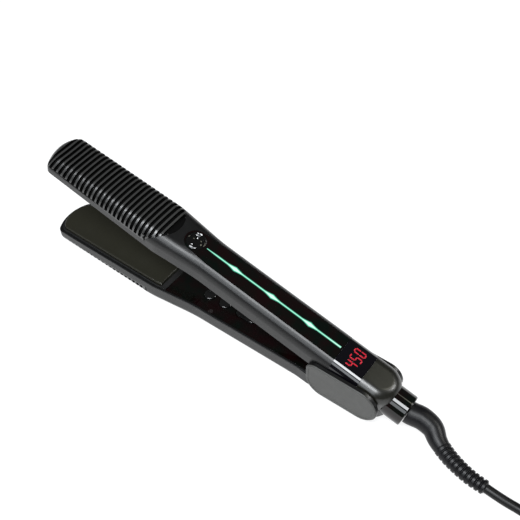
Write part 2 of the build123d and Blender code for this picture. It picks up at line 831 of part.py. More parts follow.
def board_screws():
    return Compound([screw(x, y, button_board_height - 0.9, 3.4, 1.7, 0.8) for x, y in board_screw_places])


# Swivel, strain relief, cord and plug

def turned(profile):
    """Solid of revolution about the swivel's axis from (x, radius) points."""
    face = make_face(Polyline(*[(x, radius) for x, radius in profile], close=True))
    return Pos(0, 0, collar_axis_height) * revolve(face, axis=Axis.X)


lip_bore = boot_root_radius + running_fit
flange_radius = collar_bore - 0.3
flange_end = collar_end - collar_lip - 0.3
flange_start = flange_end - boot_flange_thickness


def swivel_collar():
    return turned([(collar_start, collar_bore), (collar_end - collar_lip, collar_bore),
                   (collar_end - collar_lip, lip_bore), (collar_end, lip_bore),
                   (collar_end, collar_radius - 0.5), (collar_end - 0.5, collar_radius), (collar_start, collar_radius)])


def swivel_washer():
    end = flange_start - 0.3
    return turned([(end - 1.0, 2.4), (end, 2.4), (end, collar_bore - running_fit), (end - 1.0, collar_bore - running_fit)])


def swivel_contacts():
    end = flange_start - 1.3
    rings = []
    for inner in (3.0, 5.6):
        rings.append(turned([(end - 0.6, inner), (end, inner), (end, inner + 1.3), (end - 0.6, inner + 1.3)]))
    return Compound(rings)


axis_start = upper_place * Pos(collar_end + boot_straight, 0, collar_axis_height)
axis_direction = Vector(math.cos(lean), 0, -math.sin(lean))
boot_points = [axis_start.position] + [Vector(x + hinge_x, y, z) for x, y, z in boot_route]
cord_points = [Vector(x + hinge_x, y, z) for x, y, z in cord_route]
cord_direction = (cord_points[1] - cord_points[0]).normalized()


def cord_boot():
    """Strain relief: captured flange, smooth bent neck, then ribs that thin towards the cord."""
    line = Spline(*boot_points, cord_points[0], tangents=[axis_direction, cord_direction])
    rib_start = 0.48
    rib_end_radius = cord_diameter / 2 + 1.1
    smooth = [(0.0, boot_root_radius), (0.12, boot_root_radius), (0.24, 6.7), (0.36, 5.9), (rib_start, 5.1)]
    neck = loft([ring_face(line @ t, line % t, radius) for t, radius in smooth])
    rings = []
    step = (1 - rib_start) / boot_rib_count
    for rib in range(boot_rib_count):
        for share, rise in ((0.0, 0), (0.3, boot_rib_rise), (0.65, boot_rib_rise), (0.95, 0)):
            t = rib_start + (rib + share) * step
            body = 5.1 + (rib_end_radius - 5.1) * (rib + share) / boot_rib_count
            rings.append(ring_face(line @ t, line % t, body + rise))
    rings.append(ring_face(line @ 1, line % 1, rib_end_radius))
    ribbed = loft(rings, ruled=True)
    root = turned([(flange_start, 0), (flange_start, flange_radius), (flange_end, flange_radius),
                   (flange_end, boot_root_radius), (collar_end + boot_straight, boot_root_radius),
                   (collar_end + boot_straight, 0)])
    return upper_place * root + neck + ribbed


def corner_radii(points):
    """Largest even arcs: 0.45 of the shorter run over the tangent of half the turn."""
    radii = []
    for before, corner, after in zip(points, points[1:], points[2:]):
        run_in = corner - before
        run_out = after - corner
        half_turn = math.radians(run_in.get_angle(run_out)) / 2
        radii.append(0.45 * min(run_in.length, run_out.length) / math.tan(half_turn))
    return radii


def tube(path):
    section = ring_face(path @ 0, path % 0, cord_diameter / 2)
    return sweep(section, path=path)


def free_cord():
    radii = corner_radii(cord_points)
    path = FilletPolyline(*cord_points, radius=radii)
    solid = tube(path)
    expected = math.pi * cord_diameter ** 2 / 4 * path.length
    print("free cord radii", [round(r, 1) for r in radii], "volume share", round(solid.volume / expected, 4))
    return solid, path.length


def s_bend(start, end, heading):
    """Two like arcs that shift a run sideways and leave it heading as before."""
    middle = (start + end) / 2
    along = (middle - start).normalized()
    turned = along * (2 * heading.dot(along)) - heading
    return [TangentArc(start, middle, tangent=heading), TangentArc(middle, end, tangent=turned)]


def hank_runs():
    """Start, waist and end of each run: strands step in and out, and every second run climbs a layer."""
    left = cord_points[-1].X + cord_diameter
    middle = cord_points[-1].Y + hank_outer_radius
    layer = cord_diameter + layer_gap
    low = cord_points[-1].Z
    runs = []
    for order, step in enumerate(hank_steps):
        side = -1 if order % 2 == 0 else 1
        y = middle + side * (hank_outer_radius - step * strand_pitch / 2)
        ends = (left, left + hank_run) if side < 0 else (left + hank_run, left)
        start = Vector(ends[0], y, low + max(0, (order - 1) // 2) * layer)
        end = Vector(ends[1], y, low + min(order // 2, hank_top_layer) * layer)
        waist = (start + end) / 2 + Vector(0, -side * hank_draw_in, hank_waist_lift)
        runs.append((start, waist, end))
    return runs


hank_top = cord_points[-1].Z + hank_top_layer * (cord_diameter + layer_gap) + hank_waist_lift + cord_diameter / 2
plug_axis = Vector(cord_points[-1].X + cord_diameter + plug_rise_length,
                   cord_points[-1].Y + hank_outer_radius - plug_side_shift,
                   hank_top + plug_clearance + plug_thickness / 2)
plug_start = plug_axis + Vector(cord_diameter, 0, 0)
plug_face = plug_start + Vector(relief_length, 0, 0)


def hank_path():
    runs = hank_runs()
    first = runs[0][0]
    edges = [Line(first - Vector(cord_diameter, 0, 0), first)]
    for order, (start, waist, end) in enumerate(runs[:-1]):
        heading = Vector(1 if order % 2 == 0 else -1, 0, 0)
        edges += s_bend(start, waist, heading) + s_bend(waist, end, heading)
        edges += half_turn(end, runs[order + 1][0], heading)
    edges += s_bend(runs[-1][0], plug_axis, Vector(1, 0, 0))
    edges.append(Line(plug_axis, plug_start))
    return Wire(edges)


def cord_hank():
    path = hank_path()
    solid = tube(path)
    spots = []
    for edge in path.edges():
        steps = max(2, round(edge.length / 1.2))
        spots += [tuple(edge @ (i / steps)) for i in range(steps)]
    skip = round(3 * cord_diameter / 1.2)
    least = min(math.dist(a, b) for i, a in enumerate(spots) for b in spots[i + skip:])
    expected = math.pi * cord_diameter ** 2 / 4 * path.length
    print("hank least gap to itself", round(least - cord_diameter, 2), "length", round(path.length, 1),
          "volume share", round(solid.volume / expected, 4))
    return solid, path.length


def cord_tie():
    """Strap round the waist of the hank, pulled over its outer strands."""
    waists = [waist for start, waist, end in hank_runs()]
    corners = [(waists[order].Y, waists[order].Z) for order in (0, 1, 7, 6, 4)]
    bundle = make_face(Polyline(*corners, close=True))
    inner = offset(bundle, cord_diameter / 2 + tie_clearance)
    outer = offset(bundle, cord_diameter / 2 + tie_clearance + tie_thickness)
    place = Plane(origin=(waists[0].X - tie_width / 2, 0, 0), x_dir=(0, 1, 0), z_dir=(1, 0, 0))
    return extrude(place * (outer - inner), amount=tie_width)


def plug_section(place, width, height, corner):
    return Plane(origin=place, x_dir=(0, 1, 0), z_dir=(1, 0, 0)) * RectangleRounded(width, height, corner)


def plug_body():
    """Two-blade plug that lies on the hank, with its tapered relief."""
    forward = Vector(1, 0, 0)
    relief = loft([ring_face(plug_start, forward, cord_diameter / 2 + 0.5),
                   ring_face(plug_face, forward, cord_diameter / 2 + 2.2)])
    small = plug_section(plug_face, plug_width * 0.7, plug_thickness * 0.75, 4)
    large = plug_section(plug_face + forward * plug_length * 0.35, plug_width, plug_thickness, 5)
    nose = plug_section(plug_face + forward * plug_length, plug_width, plug_thickness, 5)
    return relief + loft([small, large], ruled=True) + loft([large, nose], ruled=True)


def plug_blades():
    root = plug_face + Vector(plug_length, 0, 0)
    tip_x = root.X + blade_length
    blades = []
    for side in (-1, 1):
        y = root.Y + side * blade_spacing / 2
        blade = block((root.X, tip_x), (y - blade_thickness / 2, y + blade_thickness / 2),
                      (root.Z - blade_width / 2, root.Z + blade_width / 2))
        hole = cross_rod(tip_x - 3.5, root.Z, (y - 3, y + 3), 1.6)
        tip = [e for e in blade.edges() if e.center().X > tip_x - 0.01 and abs((e % 0.5).Y) > 0.9]
        blades.append(chamfer(tip, 1.0) - hole)
    return Compound(blades)


free_solid, free_length = free_cord()
hank_solid, hank_length = cord_hank()
print("cord length from the strain relief to the plug", round(free_length + hank_length, 1))

in_upper_arm = {
    "upper_housing": upper_housing(),
    "upper_rib_cover": rib_cover(upper_outer, upper_under_ribs, upper_height, upper_edge_radius,
                                 upper_rib_depth),
    "gloss_inlay": gloss_inlay(),
    "light_strip": light_strip(),
    "led_board": led_board(),
    "strip_leds": strip_leds(),
    "faceted_ornament": ornament(),
    "display_window": display_window() - display_digits(),
    "display_digits": display_digits(),
    "display_module": display_module(),
    "control_board": control_board(),
    "board_components": board_components(),
    "tail_cap": tail_cap(),
    "tail_block": tail_block(),
    "upper_inner_cover": upper_inner_cover(),
    "cover_screws": cover_screws(),
    "upper_plate_carrier": plate_carrier(),
    "upper_heat_shield": heat_shield(),
    "upper_cushions": cushions(),
    "upper_heater_leads": heater_leads(-board_start - 0.3, lead_spread),
    "upper_plate": heating_plate(),
    "upper_heater": heater(),
    "upper_heater_clamp": heater_clamp(),
    "upper_thermal_fuse": thermal_fuse(),
    "hinge_pin": hinge_pin(),
    "hinge_spring": hinge_spring(),
    "swivel_collar": swivel_collar(),
    "swivel_washer": swivel_washer(),
    "swivel_contacts": swivel_contacts(),
}
in_lower_arm = {
    "lower_rib_cover": rib_cover(lower_outer, lower_under_ribs, lower_height, lower_edge_radius,
                                 lower_rib_depth),
    "lower_inner_panel": lower_inner_panel(),
    "button_board": button_board(),
    "tact_switches": tact_switches(),
    "board_screws": board_screws(),
    "power_button": push_button(power_place),
    "mode_button": push_button(mode_place),
    "temperature_rocker": temperature_rocker(),
    "lower_plate_carrier": plate_carrier(),
    "lower_heat_shield": heat_shield(),
    "lower_cushions": cushions(),
    "lower_heater_leads": heater_leads(-lower_bulkhead - 0.3, lower_lead_spread),
    "lower_plate": heating_plate(),
    "lower_heater": heater(),
    "lower_heater_clamp": heater_clamp(),
    "lower_thermal_fuse": thermal_fuse(),
}
at_hinge = {
    "lower_housing": lower_housing(),
    "hinge_bushes": hinge_bushes(),
    "near_side_plate": side_plate(oval_top),
    "far_side_plate": mirror(side_plate(far_oval_top), about=Plane.XZ),
}
in_place = {
    "cord_boot": cord_boot(),
    "cord": free_solid,
    "cord_hank": hank_solid,
    "cord_tie": cord_tie(),
    "plug_body": plug_body(),
    "plug_blades": plug_blades(),
}

os.makedirs("parts", exist_ok=True)
for place, nodes in ((upper_place, in_upper_arm), (lower_place, in_lower_arm), (to_hinge, at_hinge),
                     (Pos(0, 0, 0), in_place)):
    for name, shape in nodes.items():
        export_step(place * shape, f"parts/{name}.step")

print("hinge axis x, z", round(hinge_x, 3), round(hinge_height, 3))
print("swivel axis starts", axis_start.position, "direction", axis_direction)
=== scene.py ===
"""A black hair straightener that lies open on its lower arm, its lead tied in a hank behind it."""
import json
import math

import bmesh
import bpy
from mathutils import Matrix, Vector


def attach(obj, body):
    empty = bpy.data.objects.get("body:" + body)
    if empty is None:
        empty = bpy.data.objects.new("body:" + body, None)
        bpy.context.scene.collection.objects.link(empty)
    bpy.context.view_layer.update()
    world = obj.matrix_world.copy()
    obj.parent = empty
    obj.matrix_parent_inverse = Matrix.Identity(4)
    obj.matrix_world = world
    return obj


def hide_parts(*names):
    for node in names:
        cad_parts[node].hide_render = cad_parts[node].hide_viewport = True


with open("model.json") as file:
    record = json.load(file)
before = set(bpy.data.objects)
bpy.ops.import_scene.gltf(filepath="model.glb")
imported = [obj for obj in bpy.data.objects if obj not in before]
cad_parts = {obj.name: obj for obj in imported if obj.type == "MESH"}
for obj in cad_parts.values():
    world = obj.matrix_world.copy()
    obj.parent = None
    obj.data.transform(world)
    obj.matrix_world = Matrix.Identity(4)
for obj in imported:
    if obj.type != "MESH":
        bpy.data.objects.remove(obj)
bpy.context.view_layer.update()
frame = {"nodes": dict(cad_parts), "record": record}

# Sizes that the solids have too, in metres
hinge = Vector((0.09734, 0.0, 0.0165))
opening = math.radians(13.0)
cord_diameter = 0.0058

# Each arm has its own frame, in millimetres: origin on the hinge axis, X to the tail, Z out of the arm

arm_turn = {"upper": Matrix.Rotation(opening, 3, "Y"), "lower": Matrix.Diagonal((1.0, 1.0, -1.0))}


def to_arm(arm, point):
    """A place in metres, in an arm's frame."""
    return arm_turn[arm].inverted() @ (Vector(point) - hinge) * 1000.0


def from_arm(arm, point):
    """A place in an arm's frame, in metres."""
    return hinge + arm_turn[arm] @ Vector(point) / 1000.0


def ease_step(value, low, high):
    """Smooth step from 0 at low to 1 at high."""
    share = min(1.0, max(0.0, (value - low) / (high - low)))
    return share * share * (3 - 2 * share)


# Materials

shader_inputs = {
    "color": "Base Color", "rough": "Roughness", "metal": "Metallic", "ior": "IOR",
    "specular": "Specular IOR Level", "sheen": "Sheen Weight",
    "glow": "Emission Color", "glow_strength": "Emission Strength",
}
surface_detail = 3.0
bump_detail = 2.0
rough_range = (0.3, 0.7)
color_range = (0.35, 0.65)
mint_stops = [
    (0.0, (0.0, 0.012, 0.007)), (0.3, (0.003, 0.16, 0.085)), (0.55, (0.06, 0.66, 0.38)),
    (0.8, (0.3, 0.92, 0.66)), (1.0, (0.74, 1.0, 0.88)),
]


class Finish:
    """A node material that is put together step by step."""

    def __init__(self, name):
        self.material = bpy.data.materials.new(name)
        self.material.use_nodes = True
        self.nodes = self.material.node_tree.nodes
        self.links = self.material.node_tree.links
        self.shader = self.nodes["Principled BSDF"]
        self.coords = self.nodes.new("ShaderNodeTexCoord").outputs["Object"]

    def set(self, **values):
        """Plain values of the shader, by the short names above."""
        for key, value in values.items():
            if key in ("color", "glow"):
                value = (*value, 1.0)
            self.shader.inputs[shader_inputs[key]].default_value = value
        return self

    def noise(self, scale, detail):
        node = self.nodes.new("ShaderNodeTexNoise")
        node.inputs["Scale"].default_value = scale
        node.inputs["Detail"].default_value = detail
        self.links.new(self.coords, node.inputs["Vector"])
        return node.outputs["Fac"]

    def vary_rough(self, scale, low, high):
        """Roughness that drifts between low and high."""
        spread = self.nodes.new("ShaderNodeMapRange")
        spread.inputs["From Min"].default_value = rough_range[0]
        spread.inputs["From Max"].default_value = rough_range[1]
        spread.inputs["To Min"].default_value = low
        spread.inputs["To Max"].default_value = high
        self.links.new(self.noise(scale, surface_detail), spread.inputs["Value"])
        self.links.new(spread.outputs["Result"], self.shader.inputs["Roughness"])
        return self

    def vary_color(self, scale, first, second):
        """A colour that drifts between two."""
        ramp = self.nodes.new("ShaderNodeValToRGB")
        for element, place, color in zip(ramp.color_ramp.elements, color_range, (first, second)):
            element.position = place
            element.color = (*color, 1.0)
        self.links.new(self.noise(scale, surface_detail), ramp.inputs["Fac"])
        self.links.new(ramp.outputs["Color"], self.shader.inputs["Base Color"])
        return self

    def glow_by(self, attribute, stops):
        """Light given off, in colours set by a named value on the mesh."""
        reader = self.nodes.new("ShaderNodeAttribute")
        reader.attribute_name = attribute
        ramp = self.nodes.new("ShaderNodeValToRGB")
        for place, color in stops[1:-1]:
            ramp.color_ramp.elements.new(place).color = (*color, 1.0)
        ramp.color_ramp.elements[0].color = (*stops[0][1], 1.0)
        ramp.color_ramp.elements[-1].color = (*stops[-1][1], 1.0)
        self.links.new(reader.outputs["Fac"], ramp.inputs["Fac"])
        self.links.new(ramp.outputs["Color"], self.shader.inputs["Emission Color"])
        return self

    def bump(self, scale, strength, depth):
        """Fine grain, with its depth in metres."""
        node = self.nodes.new("ShaderNodeBump")
        node.inputs["Strength"].default_value = strength
        node.inputs["Distance"].default_value = depth
        self.links.new(self.noise(scale, bump_detail), node.inputs["Height"])
        self.links.new(node.outputs["Normal"], self.shader.inputs["Normal"])
        return self


def plain(name, color, scale, low, high, **values):
    """A finish of one colour, whose roughness drifts between low and high in patches set by scale."""
    return Finish(name).set(color=color, **values).vary_rough(scale, low, high)


def make_finishes():
    """Every finish, by its material slot or, for the last four, by where it is used."""
    made = {
        "shell": plain("satin_black_shell", (0.004, 0.004, 0.0042), 140, 0.34, 0.39, ior=1.46),
        # The ribbed cover is a lighter black than the shell: a painted highlight for the light that the rib
        # crests catch.
        "ribbed_cover": plain("ribbed_black_painted_crest_highlight", (0.028, 0.028, 0.027), 160, 0.28, 0.34, ior=1.65),
        "gloss_black": Finish("piano_black").set(ior=1.5).vary_rough(40, 0.03, 0.06),
        "screen": plain("smoked_screen", (0.002, 0.0018, 0.003), 30, 0.02, 0.04, ior=1.6),
        "light_line": Finish("mint_light").set(color=(0.02, 0.05, 0.04), rough=0.4),
        "red_digits": Finish("red_segment").set(color=(0.08, 0.002, 0.004), rough=0.3),
        "ornament": plain("black_crystal", (0.002, 0.002, 0.002), 60, 0.02, 0.05, ior=1.75),
        "ceramic": plain("ceramic_coat", (0.016, 0.0155, 0.0105), 90, 0.34, 0.42, ior=1.4),
        "carrier": plain("carrier_black", (0.01, 0.01, 0.01), 200, 0.4, 0.5),
        "ceramic_heater": plain("alumina", (0.8, 0.78, 0.72), 300, 0.5, 0.65),
        "steel": plain("plain_steel", (0.5, 0.5, 0.51), 200, 0.22, 0.35, metal=1.0),
        "spring_steel": plain("spring_wire", (0.25, 0.25, 0.26), 300, 0.25, 0.4, metal=1.0),
        "mica": Finish("mica_sheet").set(rough=0.35),
        "silicone": plain("red_silicone", (0.6, 0.08, 0.04), 200, 0.45, 0.6),
        "lead_sleeve": plain("woven_sleeve", (0.8, 0.79, 0.75), 500, 0.7, 0.9),
        "board": Finish("circuit_board").set(rough=0.35),
        "component": plain("black_component", (0.02, 0.02, 0.02), 200, 0.35, 0.5),
        "led": plain("led_chip", (0.85, 0.84, 0.7), 300, 0.1, 0.3),
        "key": plain("gloss_key", (0.006, 0.006, 0.006), 80, 0.05, 0.08, ior=1.8),
        "side_plate": plain("grey_side_plate", (0.05, 0.05, 0.047), 180, 0.42, 0.5, ior=1.45),
        "bush": plain("acetal_bush", (0.8, 0.79, 0.74), 200, 0.3, 0.4),
        "contact": plain("slip_ring", (0.75, 0.55, 0.25), 200, 0.2, 0.3, metal=1.0),
        "boot_rubber": plain("moulded_boot", (0.004, 0.004, 0.0048), 150, 0.34, 0.42, ior=1.33),
        "cord_jacket": plain("cord_jacket", (0.004, 0.004, 0.0042), 150, 0.34, 0.44, ior=1.33),
        "strap": plain("soft_strap", (0.012, 0.012, 0.012), 300, 0.5, 0.65, sheen=0.2),
        "blade": plain("plug_blade", (0.72, 0.62, 0.42), 200, 0.18, 0.28, metal=1.0),
        # Painted shade for the grooves between the ribs and the tongue's recess: near black and barely
        # reflecting.
        "groove": plain("groove_painted_shade", (0.0008, 0.0008, 0.0008), 160, 0.6, 0.7, specular=0.06),
        # The tail cap's gloss black, tinted olive: a painted reflection of the olive light it mirrors.
        "tail": plain("tail_gloss_painted_reflection", (0.006, 0.006, 0.004), 60, 0.28, 0.34, ior=1.6),
        # Lighter bevel faces of the display window and the plates: a painted highlight for the thin lines of
        # light their edges catch.
        "glass_edge": plain("window_edge_painted_highlight", (0.3, 0.3, 0.31), 200, 0.3, 0.4),
        "plate_edge": plain("plate_edge_painted_highlight", (0.5, 0.5, 0.46), 200, 0.3, 0.4),
    }
    # The gloss black drifts between a dark red and a dark green: a painted reflection of the digits' and the
    # strip's glow, laid in random patches.
    made["gloss_black"].vary_color(90, (0.0045, 0.0012, 0.0014), (0.001, 0.0026, 0.0018))
    made["mica"].vary_color(300, (0.5, 0.4, 0.24), (0.62, 0.52, 0.35))
    made["board"].vary_color(260, (0.01, 0.12, 0.03), (0.02, 0.2, 0.06))
    made["light_line"].set(glow_strength=1.0).glow_by("lit", mint_stops)
    made["red_digits"].set(glow_strength=1.0, glow=(0.5, 0.006, 0.026))
    grains = {
        "shell": (2600, 0.05, 0.00005), "ribbed_cover": (2400, 0.06, 0.00005),
        "ceramic": (1800, 0.05, 0.00004), "carrier": (1500, 0.1, 0.00005),
        "lead_sleeve": (2500, 0.4, 0.0001), "side_plate": (2200, 0.08, 0.00005),
        "boot_rubber": (2000, 0.08, 0.00005), "cord_jacket": (1800, 0.08, 0.00005),
        "strap": (1600, 0.2, 0.0001),
    }
    for name, grain in grains.items():
        made[name].bump(*grain)
    return {name: finish.material for name, finish in made.items()}


finishes = make_finishes()
slot_of = {entry["node"]: entry["material_slot"] for entry in frame["record"]["subparts"]}
body_of = {node: body for body, nodes in frame["record"]["behaviour"]["bodies"].items() for node in nodes}
# The tail cap takes its own copy of the black, whose olive tint is a painted reflection.
finish_of = {name: finishes["tail" if name == "tail_cap" else slot] for name, slot in slot_of.items()}
for name, node in frame["nodes"].items():
    node.data.materials.clear()
    node.data.materials.append(finish_of[name])


def place_piece(mesh, name, node):
    """Turns a bmesh into an object that stands for a CAD node, with its body, slot and finish."""
    data = bpy.data.meshes.new(name)
    mesh.to_mesh(data)
    mesh.free()
    piece = bpy.data.objects.new(name, data)
    bpy.context.scene.collection.objects.link(piece)
    data.materials.append(finish_of[node])
    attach(piece, body_of[node])
    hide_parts(node)
    return piece


# The noses: squarer front corners than the solids have, and a ribbed cover that is crowned across

nose_reach = 239.0
tip_half_width = 15.6
drawn_bulge, drawn_corner = 8.0, 9.0
shown_bulge, shown_corner = 5.0, 5.0
front_zone = 30.0
front_setback = {"upper": 0.4, "lower": 3.5}
crown_rise = {"upper": 1.4, "lower": 0.0}
nose_widening = 0.045
crown_base, crown_full = 8.7, 14.0
crown_start, crown_end = 132.0, 150.0
lengthwise_cuts = range(-14, 15, 2)
cut_tolerance = 0.000001


def front_depth(y, bulge, corner):
    """How far behind the tip a nose's front lies, at a distance y from its middle."""
    y = min(abs(y), tip_half_width)
    radius = (tip_half_width ** 2 + bulge ** 2) / (2 * bulge)
    aside = tip_half_width - corner
    back = radius - math.sqrt((radius - corner) ** 2 - aside ** 2)
    if y < aside * radius / (radius - corner):
        return radius - math.sqrt(radius ** 2 - y ** 2)
    return back - math.sqrt(max(0.0, corner ** 2 - (y - aside) ** 2))


def shape_nose(mesh, arm):
    """Cuts a nose's mesh finer and moves its points to the shown front outline, width and crown."""
    cuts = [(Vector((front_zone - nose_reach, 0, 0)), Vector((1, 0, 0)))]
    cuts += [(Vector((0, y, 0)), Vector((0, 1, 0))) for y in lengthwise_cuts]
    for place, normal in cuts:
        everything = mesh.verts[:] + mesh.edges[:] + mesh.faces[:]
        bmesh.ops.bisect_plane(mesh, geom=everything, dist=cut_tolerance, plane_co=from_arm(arm, place),
                               plane_no=arm_turn[arm] @ normal)
    for vertex in mesh.verts:
        x, y, z = to_arm(arm, vertex.co)
        behind = x + nose_reach
        if behind < front_zone:
            drawn = front_depth(y, drawn_bulge, drawn_corner)
            shown = front_depth(y, shown_bulge, shown_corner) + front_setback[arm]
            x += (shown - drawn) * (front_zone - behind) / (front_zone - drawn)
        forward = ease_step(-x, crown_start, crown_end)
        middle = max(0.0, 1 - (y / tip_half_width) ** 2)
        z += crown_rise[arm] * middle * forward * ease_step(z, crown_base, crown_full)
        y *= 1 + nose_widening * forward
        vertex.co = from_arm(arm, (x, y, z))


# Grooves between the ribs: their floors and walls, and the tongue behind the last rib, get a near-black, dull
# finish that is painted shade for the shade that falls into them

rib_pitch, rib_width = 3.55, 1.35
front_rib_margin = 5.0
rib_zone = (-233.5, -138.6)
groove_half_share = (rib_pitch - rib_width) / rib_pitch / 2 + 0.01
wall_slope = 0.8


def in_groove(arm, face):
    """Whether a face of a ribbed cover is a floor or a wall of a groove, or the tongue: the faces that get
    the painted shade.
    """
    x, y, z = to_arm(arm, face.calc_center_median())
    if x > rib_zone[1]:
        return z > crown_base
    if x < rib_zone[0] or z < crown_base:
        return False
    normal = arm_turn[arm].inverted() @ face.normal
    phase = (nose_reach - front_rib_margin + x) / rib_pitch % 1.0
    return abs(phase - 0.5) < groove_half_share or abs(normal.x) > wall_slope


# Rounded edges: a moulded piece has no knife edge, so each of these is shown by a copy with eased edges.
# For each node, the width in metres and the number of segments

eased_edges = {
    "upper_rib_cover": (0.0005, 3), "lower_rib_cover": (0.0003, 2), "near_side_plate": (0.0003, 2),
    "far_side_plate": (0.0003, 2), "upper_housing": (0.00025, 2), "lower_housing": (0.0002, 2),
    "tail_cap": (0.0003, 2), "display_window": (0.0003, 3), "swivel_collar": (0.0004, 3),
    "lower_plate_carrier": (0.0002, 2), "lower_plate": (0.0004, 2), "lower_inner_panel": (0.0002, 2),
    "upper_plate_carrier": (0.0002, 2), "upper_plate": (0.00025, 2),
    "temperature_rocker": (0.00025, 2), "power_button": (0.0005, 4), "mode_button": (0.0005, 4),
    "plug_body": (0.001, 3), "plug_blades": (0.0002, 2), "cord_tie": (0.0002, 2), "tail_block": (0.0003, 2),
    "upper_cushions": (0.0006, 3), "lower_cushions": (0.0006, 3),
}
nose_pieces = ("housing", "rib_cover", "plate_carrier", "plate")
# The bevel faces of these pieces get a lighter grey: a painted highlight for the line of light along their
# edges.
painted_edge_highlight = {"display_window": "glass_edge", "lower_plate": "plate_edge", "upper_plate": "plate_edge"}
same_point = 0.000002
flat_angle = math.radians(0.8)
sharp_angle = math.radians(38)


def ease(name, width, segments):
    """Shows a node by a copy whose sharp edges are rounded."""
    mesh = bmesh.new()
    mesh.from_mesh(frame["nodes"][name].data)
    bmesh.ops.remove_doubles(mesh, verts=mesh.verts, dist=same_point)
    bmesh.ops.dissolve_limit(mesh, angle_limit=flat_angle, verts=mesh.verts, edges=mesh.edges)
    arm, _, piece_name = name.partition("_")
    ribbed = piece_name == "rib_cover"
    if ribbed:
        # Faces in the grooves and on the tongue take the painted shade as their second material.
        for face in mesh.faces:
            face.material_index = int(in_groove(arm, face))
    if arm in arm_turn and piece_name in nose_pieces:
        shape_nose(mesh, arm)
    piece = place_piece(mesh, name + "_eased", name)
    for face in piece.data.polygons:
        face.use_smooth = True
    bevel = piece.modifiers.new("ease", "BEVEL")
    bevel.width = width
    bevel.segments = segments
    bevel.limit_method = "ANGLE"
    bevel.angle_limit = sharp_angle
    if ribbed:
        # The second material of a ribbed cover is the painted groove shade.
        piece.data.materials.append(finishes["groove"])
    if name in painted_edge_highlight:
        piece.data.materials.append(finishes[painted_edge_highlight[name]])
        bevel.material = 1
    piece.modifiers.new("normals", "WEIGHTED_NORMAL")
    return piece


for name, (width, segments) in eased_edges.items():
    piece = ease(name, width, segments)


# Light strip: a fine line that swells to three diamonds, brightest along its middle and in them, and whitened
# towards the display end by a painted highlight

strip_range = (-114.2, -11.6)
strip_taper = 9.0
strip_start_width = 0.45
line_half_width = 0.82
diamond_places = (-92.0, -63.4, -34.8)
diamond_reach = 6.2
diamond_half_width = 2.0
diamond_sharpness = 1.4
strip_steps = 240
strip_rows = 10
strip_top = max(to_arm("upper", vertex.co).z for vertex in frame["nodes"]["light_strip"].data.vertices)
strip_lift = 0.03
strip_depth = 0.0004
diamond_gain = 0.9
# Towards the display end the strip's glow rises to near white: a painted highlight.
display_end_highlight_gain = 0.3
display_end_highlight_zone = (-26.0, -12.0)


def strip_width(x):
    """Half width of the strip at x, and how much of a diamond is there."""
    near = min(abs(x - place) for place in diamond_places)
    swell = max(0.0, 1 - near / diamond_reach) ** diamond_sharpness
    taper = strip_start_width + (1 - strip_start_width) * ease_step(x - strip_range[0], 0, strip_taper)
    return line_half_width * taper + (diamond_half_width - line_half_width) * swell, swell


def make_strip():
    mesh = bmesh.new()
    lit = mesh.verts.layers.float.new("lit")
    rows = []
    for step in range(strip_steps + 1):
        x = strip_range[0] + (strip_range[1] - strip_range[0]) * step / strip_steps
        half, swell = strip_width(x)
        # The last term is the painted highlight at the display end.
        gain = 1.0 + diamond_gain * swell + display_end_highlight_gain * ease_step(x, *display_end_highlight_zone)
        row = []
        for index in range(-strip_rows, strip_rows + 1):
            share = index / strip_rows
            vertex = mesh.verts.new(from_arm("upper", (x, share * half, strip_top + strip_lift)))
            vertex[lit] = (1 - abs(share)) * gain
            row.append(vertex)
        rows.append(row)
    down = arm_turn["upper"] @ Vector((0, 0, strip_depth))
    skirt = [[mesh.verts.new(vertex.co - down) for vertex in row] for row in rows]
    for layer in (rows, skirt):
        for row, following in zip(layer, layer[1:]):
            for index in range(2 * strip_rows):
                corners = [row[index], following[index], following[index + 1], row[index + 1]]
                mesh.faces.new(corners if layer is rows else corners[::-1])
    for edge in (0, -1):
        for order in range(strip_steps):
            ahead = order + 1
            mesh.faces.new((rows[order][edge], rows[ahead][edge], skirt[ahead][edge], skirt[order][edge]))
    for end in (0, -1):
        for index in range(2 * strip_rows):
            after = index + 1
            mesh.faces.new((rows[end][index], rows[end][after], skirt[end][after], skirt[end][index]))
    bmesh.ops.recalc_face_normals(mesh, faces=mesh.faces)
    place_piece(mesh, "light_line", "light_strip")


make_strip()


# Ornament: a round black stone with rings of small facets round a dished centre.
# For each ring, its radius, its height over the strip and its number of corners

ornament_place = -122.7
ornament_rings = [
    (1.5, 0.3, 12), (2.4, 0.66, 18), (3.3, 0.48, 24), (4.1, 0.76, 28),
    (4.9, 0.5, 32), (5.6, 0.7, 36), (6.2, 0.3, 36), (6.6, -0.1, 36),
]
rim_rings = 2
dish_height = 0.12
facet_unevenness = 0.2
corner_beat, ring_beat = 7.3, 2.1
stone_depth = 0.0008


def join_rings(mesh, inner, outer):
    """Triangles between two rings with different numbers of points."""
    i = j = 0
    while i < len(inner) or j < len(outer):
        a, b = inner[i % len(inner)], outer[j % len(outer)]
        outer_is_behind = (j + 0.5) / len(outer) < (i + 0.5) / len(inner)
        if i >= len(inner) or (outer_is_behind and j < len(outer)):
            mesh.faces.new((a, b, outer[(j + 1) % len(outer)]))
            j += 1
        else:
            mesh.faces.new((a, b, inner[(i + 1) % len(inner)]))
            i += 1


